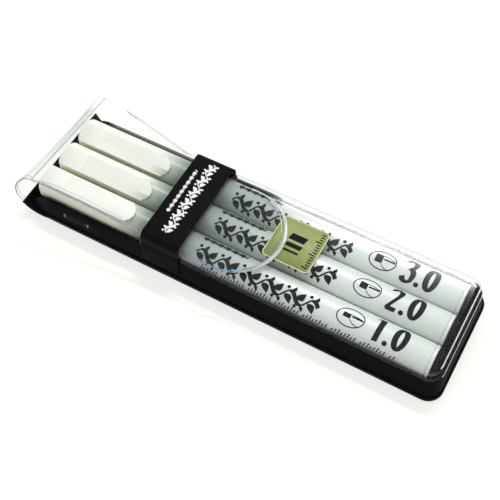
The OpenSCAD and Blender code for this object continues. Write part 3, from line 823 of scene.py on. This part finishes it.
def add_front():
    """The formed clear sheet: flange, sides, round edge and flat top."""
    top = FRONT_HIGH[2]
    low = FRONT_LOW[2] + FLANGE_UP
    # each level: how far out it lies from the foot of the sides, and its height
    levels = [(FLANGE, low), (0.3, low + 0.02), (0.05, low + 0.2), (0.0, low + 0.6)]
    levels += [(0.0, low + 0.6 + (top - EDGE_R - low - 0.6) * k / 4) for k in range(1, 5)]
    levels += [(EDGE_R * (math.cos(a) - 1), top - EDGE_R + EDGE_R * math.sin(a))
               for a in (math.radians(11.25 * k) for k in range(1, 9))]
    rows = [case_outline(offset, z) for offset, z in levels]
    cols = len(rows[0])
    verts = [p for row in rows for p in row]
    faces = grid_faces(len(rows), cols)
    rim = rows[-1]
    # two narrow columns at the sides keep the flat top's shading flat
    steps = [0, 0.01] + [k / 12 for k in range(1, 12)] + [0.99, 1]
    half_rim = SIDE_POINTS + TURN_POINTS
    cross = [[(a[0], a[1] + (b[1] - a[1]) * step, a[2]) for step in steps]
             for a, b in zip(rim[:half_rim], rim[::-1][:half_rim])]
    faces += grid_faces(len(cross), len(steps), len(verts), flip=True)
    verts += [p for row in cross for p in row]
    front = mesh_piece("formed_front", verts, faces, "front", "case",
                       smooth=True, merge=True)
    front.data.materials.append(MAT["frost"])     # 1, on the long sides
    front.data.materials.append(MAT["end"])       # 2, on the right end
    for face in front.data.polygons:
        mid = face.center / MM
        if abs(mid.y) > FRONT_HIGH[1] - FLANGE - 0.75 * EDGE_R:
            face.material_index = 1
        if mid.x > FRONT_HIGH[0] - FLANGE - 0.75 * EDGE_R:
            face.material_index = 2
    thicken(front, FRONT_T, 0)
    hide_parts("clear_front")
    add_lit_edges(top, low)


def add_lit_edges(top, low):
    """Thin lines where the formed sheet's edges catch the light, round the end and the corners."""
    reach = END_POINTS // 2 + 2
    for name, offset, z, half_width in (("front_top_edge", -0.32, top - 0.3, 0.17),
                                        ("front_flange_edge", FLANGE - 0.08, low + 0.04, 0.08)):
        line = case_outline(offset, z)
        middle = len(line) // 2
        section = bar(half_width, 0.04, side=(1, 0, 0))
        strip(name, line[middle - reach:middle + reach + 1], lambda i, s=section: s,
              "line", "case")


# Flap

FLAP_T = 0.4                            # thickness of the flap's sheet
LOOP_MID = 3.6                          # height of the loop's left point over the hinge line
CREST_RUN = 7.8                         # crest's place right of the hinge line
TONGUE_R, TONGUE_Y = 15.5, -1.8         # the tongue's rounding, and its middle across the case
LIP, LIP_T = 1.1, 0.35                  # depth and thickness of the turned-down long edges
LIP_TOP = -0.19                         # where the lips start, from the middle of the sheet
HEM = 1.2                               # distance of the hem line from the edge
FLAT_NEAR, FLAT_FAR = 0.6, 4.4          # how much the loop is pressed flat at its ends
CREST_SKEW = 1.0                        # half of how far the crest slants along X
CREST_BACK = 0.65                       # how far the crest's middle leans back over the loop
SAG, SAG_START = 0.3, 5.0               # how far the sheet hangs, and from where past the crest
RIM_SHIFT = 1.2                         # the rolled rim is this wide at the tongue's tip
SHEET_COLS = 25

HALF_ROOT = FLAP_HIGH[1]
LOOP_X = FLAP_LOW[0] + FLAP_T / 2 + 0.05
CREST = (HINGE_X + CREST_RUN, FLAP_HIGH[2] - FLAP_T / 2 - 0.08)
TONGUE_MID = FLAP_HIGH[0] - TONGUE_R
TONGUE_Z = FRONT_HIGH[2] + FLAP_T
ENTRY = (STRAP_LOW[0] + FLAP_T + 0.2, TONGUE_Z)
NEAR_EDGE = [(CREST[0], -19.5), (CREST[0] + 8, -18.5), (CREST[0] + 18, -16.9),
             (TONGUE_MID, TONGUE_Y - TONGUE_R)]
FAR_EDGE = [(CREST[0], 19.9), (CREST[0] + 22, 18.6), (CREST[0] + 34, 14.6),
            (TONGUE_MID, TONGUE_Y + TONGUE_R)]
FOOT_ROWS, RISE_ROWS, FALL_ROWS, ENTRY_ROWS, TIP_ROWS = 12, 28, 41, 12, 28
NARROW_ROWS = 22                        # rows over which the loop narrows from its root
CREST_ROW = FOOT_ROWS + RISE_ROWS


def ease(t):
    """Smooth step from 0 to 1."""
    t = min(1.0, max(0.0, t))
    return t * t * (3 - 2 * t)


def edge_at(edge, x):
    """Where a long edge is at x."""
    low, high = 0.0, 1.0
    for _ in range(40):
        t = (low + high) / 2
        if bend(edge, t)[0] < x:
            low = t
        else:
            high = t
    return bend(edge, t)[1]


def flap_rows():
    """Cross rows of the flap's middle sheet: (x, z, near edge, far edge)."""
    loop = (LOOP_X, HINGE_Z + LOOP_MID)
    foot = [(HINGE_X - 0.85, HINGE_Z + 0.1), (HINGE_X - 2.8, HINGE_Z),
            (LOOP_X, HINGE_Z + 0.45 * LOOP_MID), loop]
    rise = [loop, (LOOP_X, HINGE_Z + 2.2 * LOOP_MID), (CREST[0] - 0.7 * CREST_RUN, CREST[1]), CREST]
    fall = [CREST, (CREST[0] + 2 * CREST_RUN, CREST[1] - 0.9), (ENTRY[0] - 7, ENTRY[1] + 1.1), ENTRY]
    line = [bend(foot, i / FOOT_ROWS) for i in range(FOOT_ROWS)]
    line += [bend(rise, i / RISE_ROWS) for i in range(RISE_ROWS)]
    rows = []
    for i, (x, z) in enumerate(line):
        narrow = ease(i / NARROW_ROWS)
        rows.append((x, z, -HALF_ROOT + (NEAR_EDGE[0][1] + HALF_ROOT) * narrow,
                     HALF_ROOT + (FAR_EDGE[0][1] - HALF_ROOT) * narrow))
    for i in range(FALL_ROWS):
        x, z = bend(fall, i / (FALL_ROWS - 1))
        rows.append((x, z, edge_at(NEAR_EDGE, x), edge_at(FAR_EDGE, x)))
    for k in range(1, ENTRY_ROWS + 1):
        x = ENTRY[0] + (TONGUE_MID - ENTRY[0]) * k / ENTRY_ROWS
        rows.append((x, TONGUE_Z, edge_at(NEAR_EDGE, x), edge_at(FAR_EDGE, x)))
    for k in range(1, TIP_ROWS + 1):
        a = math.radians(90 * k / TIP_ROWS)
        half = max(0.02, TONGUE_R * math.cos(a))
        rows.append((TONGUE_MID + TONGUE_R * math.sin(a), TONGUE_Z,
                     TONGUE_Y - half, TONGUE_Y + half))
    return rows


ROWS = flap_rows()
LIP_END = max(i for i, row in enumerate(ROWS) if row[0] < STRAP_LOW[0] - 3)


def lean(i, y):
    """How far row i leans along X at y: the loop is flatter at its far end, its crest slants."""
    s = min(1.0, max(0.0, (y + HALF_ROOT) / (2 * HALF_ROOT)))
    flat = FLAT_NEAR + (FLAT_FAR - FLAT_NEAR) * (1 - (1 - s) ** 1.8)
    skew = CREST_SKEW * (2 * s - 1) - CREST_BACK
    loop = ease(i / FOOT_ROWS) * (1 - ease((i - FOOT_ROWS) / RISE_ROWS * 1.4 - 0.4))
    crest = ease((i - CREST_ROW + 14) / 14) if i < CREST_ROW else 1 - ease((i - CREST_ROW) / 12)
    return flat * loop + skew * crest


def row_up(i):
    """Unit direction square to the flap in side view, outwards."""
    a, b = ROWS[max(0, i - 1)], ROWS[min(len(ROWS) - 1, i + 1)]
    size = math.hypot(b[0] - a[0], b[1] - a[1]) or 1
    return -(b[1] - a[1]) / size, (b[0] - a[0]) / size


def flap_point(i, y, lift=0.0):
    """Point over row i of the flap, lift above its middle sheet."""
    x, z = ROWS[i][:2]
    ux, uz = row_up(i)
    return (x + lean(i, y) + ux * lift, y, z + uz * lift)


def flap_sag(i, s):
    """How far the free sheet hangs between its long edges."""
    start = CREST[0] + SAG_START
    span = (ROWS[i][0] - start) / (STRAP_LOW[0] - SAG_START - start)
    if not 0 < span < 1:
        return 0.0
    return -SAG * math.sin(math.pi * span) * math.sin(math.pi * s)


def flap_sheet():
    """The clear sheet as a closed thin shell."""
    cols = SHEET_COLS
    verts = []
    for side in (1, -1):
        for i, (_, _, near, far) in enumerate(ROWS):
            for k in range(cols):
                s = k / (cols - 1)
                verts.append(flap_point(i, near + (far - near) * s,
                                        side * FLAP_T / 2 + flap_sag(i, s)))
    n = len(ROWS)
    faces = grid_faces(n, cols, flip=True) + grid_faces(n, cols, n * cols)
    under = n * cols
    ring = [i * cols for i in range(n)] + [(n - 1) * cols + k for k in range(1, cols)]
    ring += [i * cols + cols - 1 for i in range(n - 2, -1, -1)] + list(range(cols - 2, 0, -1))
    for a, b in zip(ring, ring[1:] + ring[:1]):
        faces.append((a, b, b + under, a + under))
    return mesh_piece("flap_sheet", verts, faces, "flap", smooth=True)


def flap_line(name, rows, side, inset, lift, width, height, material):
    """A thin raised line along the flap, inset from its near or far edge."""
    sign = 1 if side == "near" else -1
    path = [flap_point(i, ROWS[i][2 if side == "near" else 3] + sign * inset(i), lift)
            for i in rows]
    sections = [bar(width, height, up=(ux, 0, uz)) for ux, uz in map(row_up, rows)]
    return strip(name, path, lambda k: sections[k], material)


def flap_lip(side):
    """The turned-down long edge, from the loop to just before the strap."""
    first = CREST_ROW if side == "near" else CREST_ROW + 8
    rows = range(first, LIP_END + 1)
    col, inward = (2, LIP_T) if side == "near" else (3, -LIP_T)
    deep = LIP if side == "near" else 0.5 * LIP
    drops = [deep * min(1.0, (i - first + 1) / 9, (LIP_END - i + 1) / 6) for i in rows]
    verts = []
    for i, drop in zip(rows, drops):
        y = ROWS[i][col]
        verts += [flap_point(i, y, LIP_TOP), flap_point(i, y, LIP_TOP - drop),
                  flap_point(i, y + inward, LIP_TOP - drop), flap_point(i, y + inward, LIP_TOP)]
    lip = mesh_piece(f"flap_lip_{side}", verts, tube_faces(len(rows), 4), "flap",
                     merge=True)

    path = [flap_point(i, ROWS[i][col] + inward / 2, LIP_TOP - drop) for i, drop in zip(rows, drops)]
    section = bar(0.12, 0.05)
    foot = strip(f"flap_lip_foot_{side}", path, lambda i: section,
                 "edge" if side == "near" else "pale_edge")
    return [lip, foot]


def tongue_ring(centre, angle, z):
    """Point of the tongue's round line, at an angle from +X."""
    a = math.radians(angle)
    return (centre + TONGUE_R * math.cos(a), TONGUE_Y + TONGUE_R * math.sin(a), z)


def tongue_glare_bead(inner, top):
    """The rolled rim's low bead, widest at the tip, carrying a painted glare of pale yellow haze."""
    verts = []
    angles = [-60 + 3 * k for k in range(46)]
    for angle in angles:
        a = tongue_ring(inner, angle, top)
        b = tongue_ring(TONGUE_MID, angle, top)
        for k in range(7):
            s = k / 6
            verts.append((a[0] + (b[0] - a[0]) * s, a[1] + (b[1] - a[1]) * s,
                          top + 0.03 + 0.15 * math.sin(math.pi * s)))
    return mesh_piece("tongue_glare_bead", verts, grid_faces(len(angles), 7), "glare",
                      smooth=True)


def tongue_line(name, centre, start, end, width, material, z):
    """A thin line along the tongue's rim, from one angle to another."""
    steps = 48
    turns = [start + (end - start) * k / steps for k in range(steps + 1)]
    path = [tongue_ring(centre, turn, z) for turn in turns]
    sections = [bar(width, 0.05, side=(math.cos(math.radians(turn)), math.sin(math.radians(turn)), 0))
                for turn in turns]
    return strip(name, path, lambda i: sections[i], material)


def tongue_rim():
    """The tongue's rolled rim: a bead with painted glare, its inner line, its cut edge and a painted
    highlight.
    """
    top = TONGUE_Z + FLAP_T / 2
    inner = TONGUE_MID - RIM_SHIFT
    return [tongue_glare_bead(inner, top),
            tongue_line("tongue_line_near", inner, -104, 14, 0.17, "blue", top + 0.06),
            tongue_line("tongue_line_far", inner, 14, 78, 0.10, "edge", top + 0.06),
            tongue_line("tongue_cut_edge", TONGUE_MID, -88, 92, 0.08, "edge", top - 0.05),
            # painted highlight: a pale line along the rim
            tongue_line("tongue_highlight", inner - 0.9, 20, 96, 0.09, "pale_edge", top + 0.06)]


def add_flap():
    """The clear flap with its lips, cut edges, crease and hem lines."""
    sheet = flap_sheet()
    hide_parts("flap")
    before = range(0, LIP_END + 4)
    loop = range(0, CREST_ROW)
    hem = range(CREST_ROW, LIP_END - 4)
    pieces = [sheet, *flap_lip("near"), *flap_lip("far"), *tongue_rim()]
    pieces += [
        flap_line("flap_edge_near", before, "near", lambda i: -0.01, 0, 0.05, 0.21, "edge"),
        flap_line("flap_edge_far", range(CREST_ROW + 8, LIP_END + 4), "far", lambda i: -0.01, 0,
                  0.04, 0.12, "brown_edge"),
        flap_line("flap_inner_edge_near", loop, "near", lambda i: 1.1, 0.16, 0.06, 0.05, "edge"),
        flap_line("flap_hem_near", hem, "near", lambda i: HEM * min(1, 0.2 + (i - CREST_ROW) / 6),
                  0.2, 0.08, 0.03, "edge"),
        flap_line("flap_hem_far", hem, "far", lambda i: HEM, 0.2, 0.06, 0.03, "pale_edge"),
    ]
    for name, i, width, ends, material in (("flap_crease", CREST_ROW, 0.2, 0.3, "edge"),
                                           ("flap_fold", CREST_ROW - 9, 0.1, 1.5, "pale_edge")):
        near, far = ROWS[i][2] + ends, ROWS[i][3] - ends
        path = [flap_point(i, near + (far - near) * k / 24, FLAP_T / 2) for k in range(25)]
        ux, uz = row_up(i)
        section = [(-uz * width, 0, ux * width), (uz * width, 0, -ux * width),
                   (ux * 0.07, 0, uz * 0.07)]
        pieces.append(strip(name, path, lambda k, s=section: s, material))
    for piece in pieces:
        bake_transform(piece)


# CAD nodes

def dress_nodes():
    """Give each CAD node that shows its material, joined corners and small rounds."""
    paint = {"back_sheet": ("vinyl", 0.2), "end_tab": ("vinyl", 0.1), "side_wall": ("wall", 0.15),
             "sticker": ("label", 0)}
    for pen in PENS:
        paint |= {f"barrel_{pen}": ("barrel", 0.1), f"plug_{pen}": ("plug", 0.25),
                  f"holder_{pen}": ("holder", 0.1), f"nib_{pen}": ("felt", 0.08),
                  f"reservoir_{pen}": ("felt", 0), f"cap_{pen}": ("cap", 0.25)}
    for name, (material, round_r) in paint.items():
        node = frame["nodes"][name]
        node.data.materials.clear()
        node.data.materials.append(MAT[material])
        node.data.polygons.foreach_set("use_smooth", [True] * len(node.data.polygons))
        weld = node.modifiers.new("joined_corners", "WELD")
        weld.merge_threshold = 0.002 * MM
        if round_r:
            soften(node, round_r, 2, 32)


# Floor and light

FLOOR_HALF = 3.0                        # metres
FLOOR_LOW, FLOOR_HIGH = (0.41, 0.415, 0.37), (0.43, 0.435, 0.39)
FLOOR_GLOW, WORLD_FILL = 0.62, 0.75
WORLD_COLOR, LAMP_COLOR = (0.995, 1.0, 0.995), (1.0, 0.995, 0.98)
LAMP_SIZE = (0.295, 0.023)              # metres
LAMP_AT = (-0.047, 0.3795, 0.60)        # its mirror image lies along the clear front's far edge
LAMP_WATTS = 2.2


def floor_material():
    """Pale floor that shows white where no shadow falls, and lights the object as pale grey."""
    t = Tree(bpy.data.materials.new("pale_floor"))
    diffuse = t.add("BsdfDiffuse")
    shade = t.ramp(t.noise(t.coords(), 0.01), FLOOR_LOW, FLOOR_HIGH)
    t.link(shade, diffuse.inputs["Color"])
    glow = t.add("Emission")
    t.link(t.spread(t.background_ray(), 0.0, FLOOR_GLOW), glow.inputs["Strength"])
    both = t.add("AddShader")
    t.link(diffuse.outputs[0], both.inputs[0])
    t.link(glow.outputs[0], both.inputs[1])
    return t.done(both)


def make_floor():
    half = FLOOR_HALF
    mesh = bpy.data.meshes.new("floor")
    mesh.from_pydata([(-half, -half, 0), (half, -half, 0), (half, half, 0), (-half, half, 0)], [],
                     [(0, 1, 2, 3)])
    mesh.materials.append(floor_material())
    floor = bpy.data.objects.new("floor", mesh)
    floor.location.z = -0.2 * MM
    bpy.context.scene.collection.objects.link(floor)


def make_world():
    """Even light from all round, with a white background."""
    t = Tree(bpy.data.worlds.new("world"), "OutputWorld")
    back = t.add("Background")
    back.inputs["Color"].default_value = (*WORLD_COLOR, 1)
    t.link(t.spread(t.background_ray(), WORLD_FILL, 1.0), back.inputs["Strength"])
    bpy.context.scene.world = t.done(back)


def make_lamp():
    """A long narrow lamp beyond the far side, turned towards the case."""
    light = bpy.data.lights.new("key_light", "AREA")
    light.shape = "RECTANGLE"
    light.size, light.size_y = LAMP_SIZE
    light.energy = LAMP_WATTS
    light.color = LAMP_COLOR
    key = bpy.data.objects.new("key_light", light)
    bpy.context.scene.collection.objects.link(key)
    key.location = LAMP_AT
    key.rotation_mode = "QUATERNION"
    aim = Vector((0, -key.location.y, -key.location.z))
    key.rotation_quaternion = aim.to_track_quat("-Z", "Y")


make_camera()
for pen in PENS:
    print_barrel(pen)
    barrel_rim(pen)
print_strap()
print_label()
label_border()
add_strap()
add_weld_mark()
add_front()
add_flap()
dress_nodes()
make_floor()
make_world()
make_lamp()
bpy.context.scene.view_settings.view_transform = "Standard"
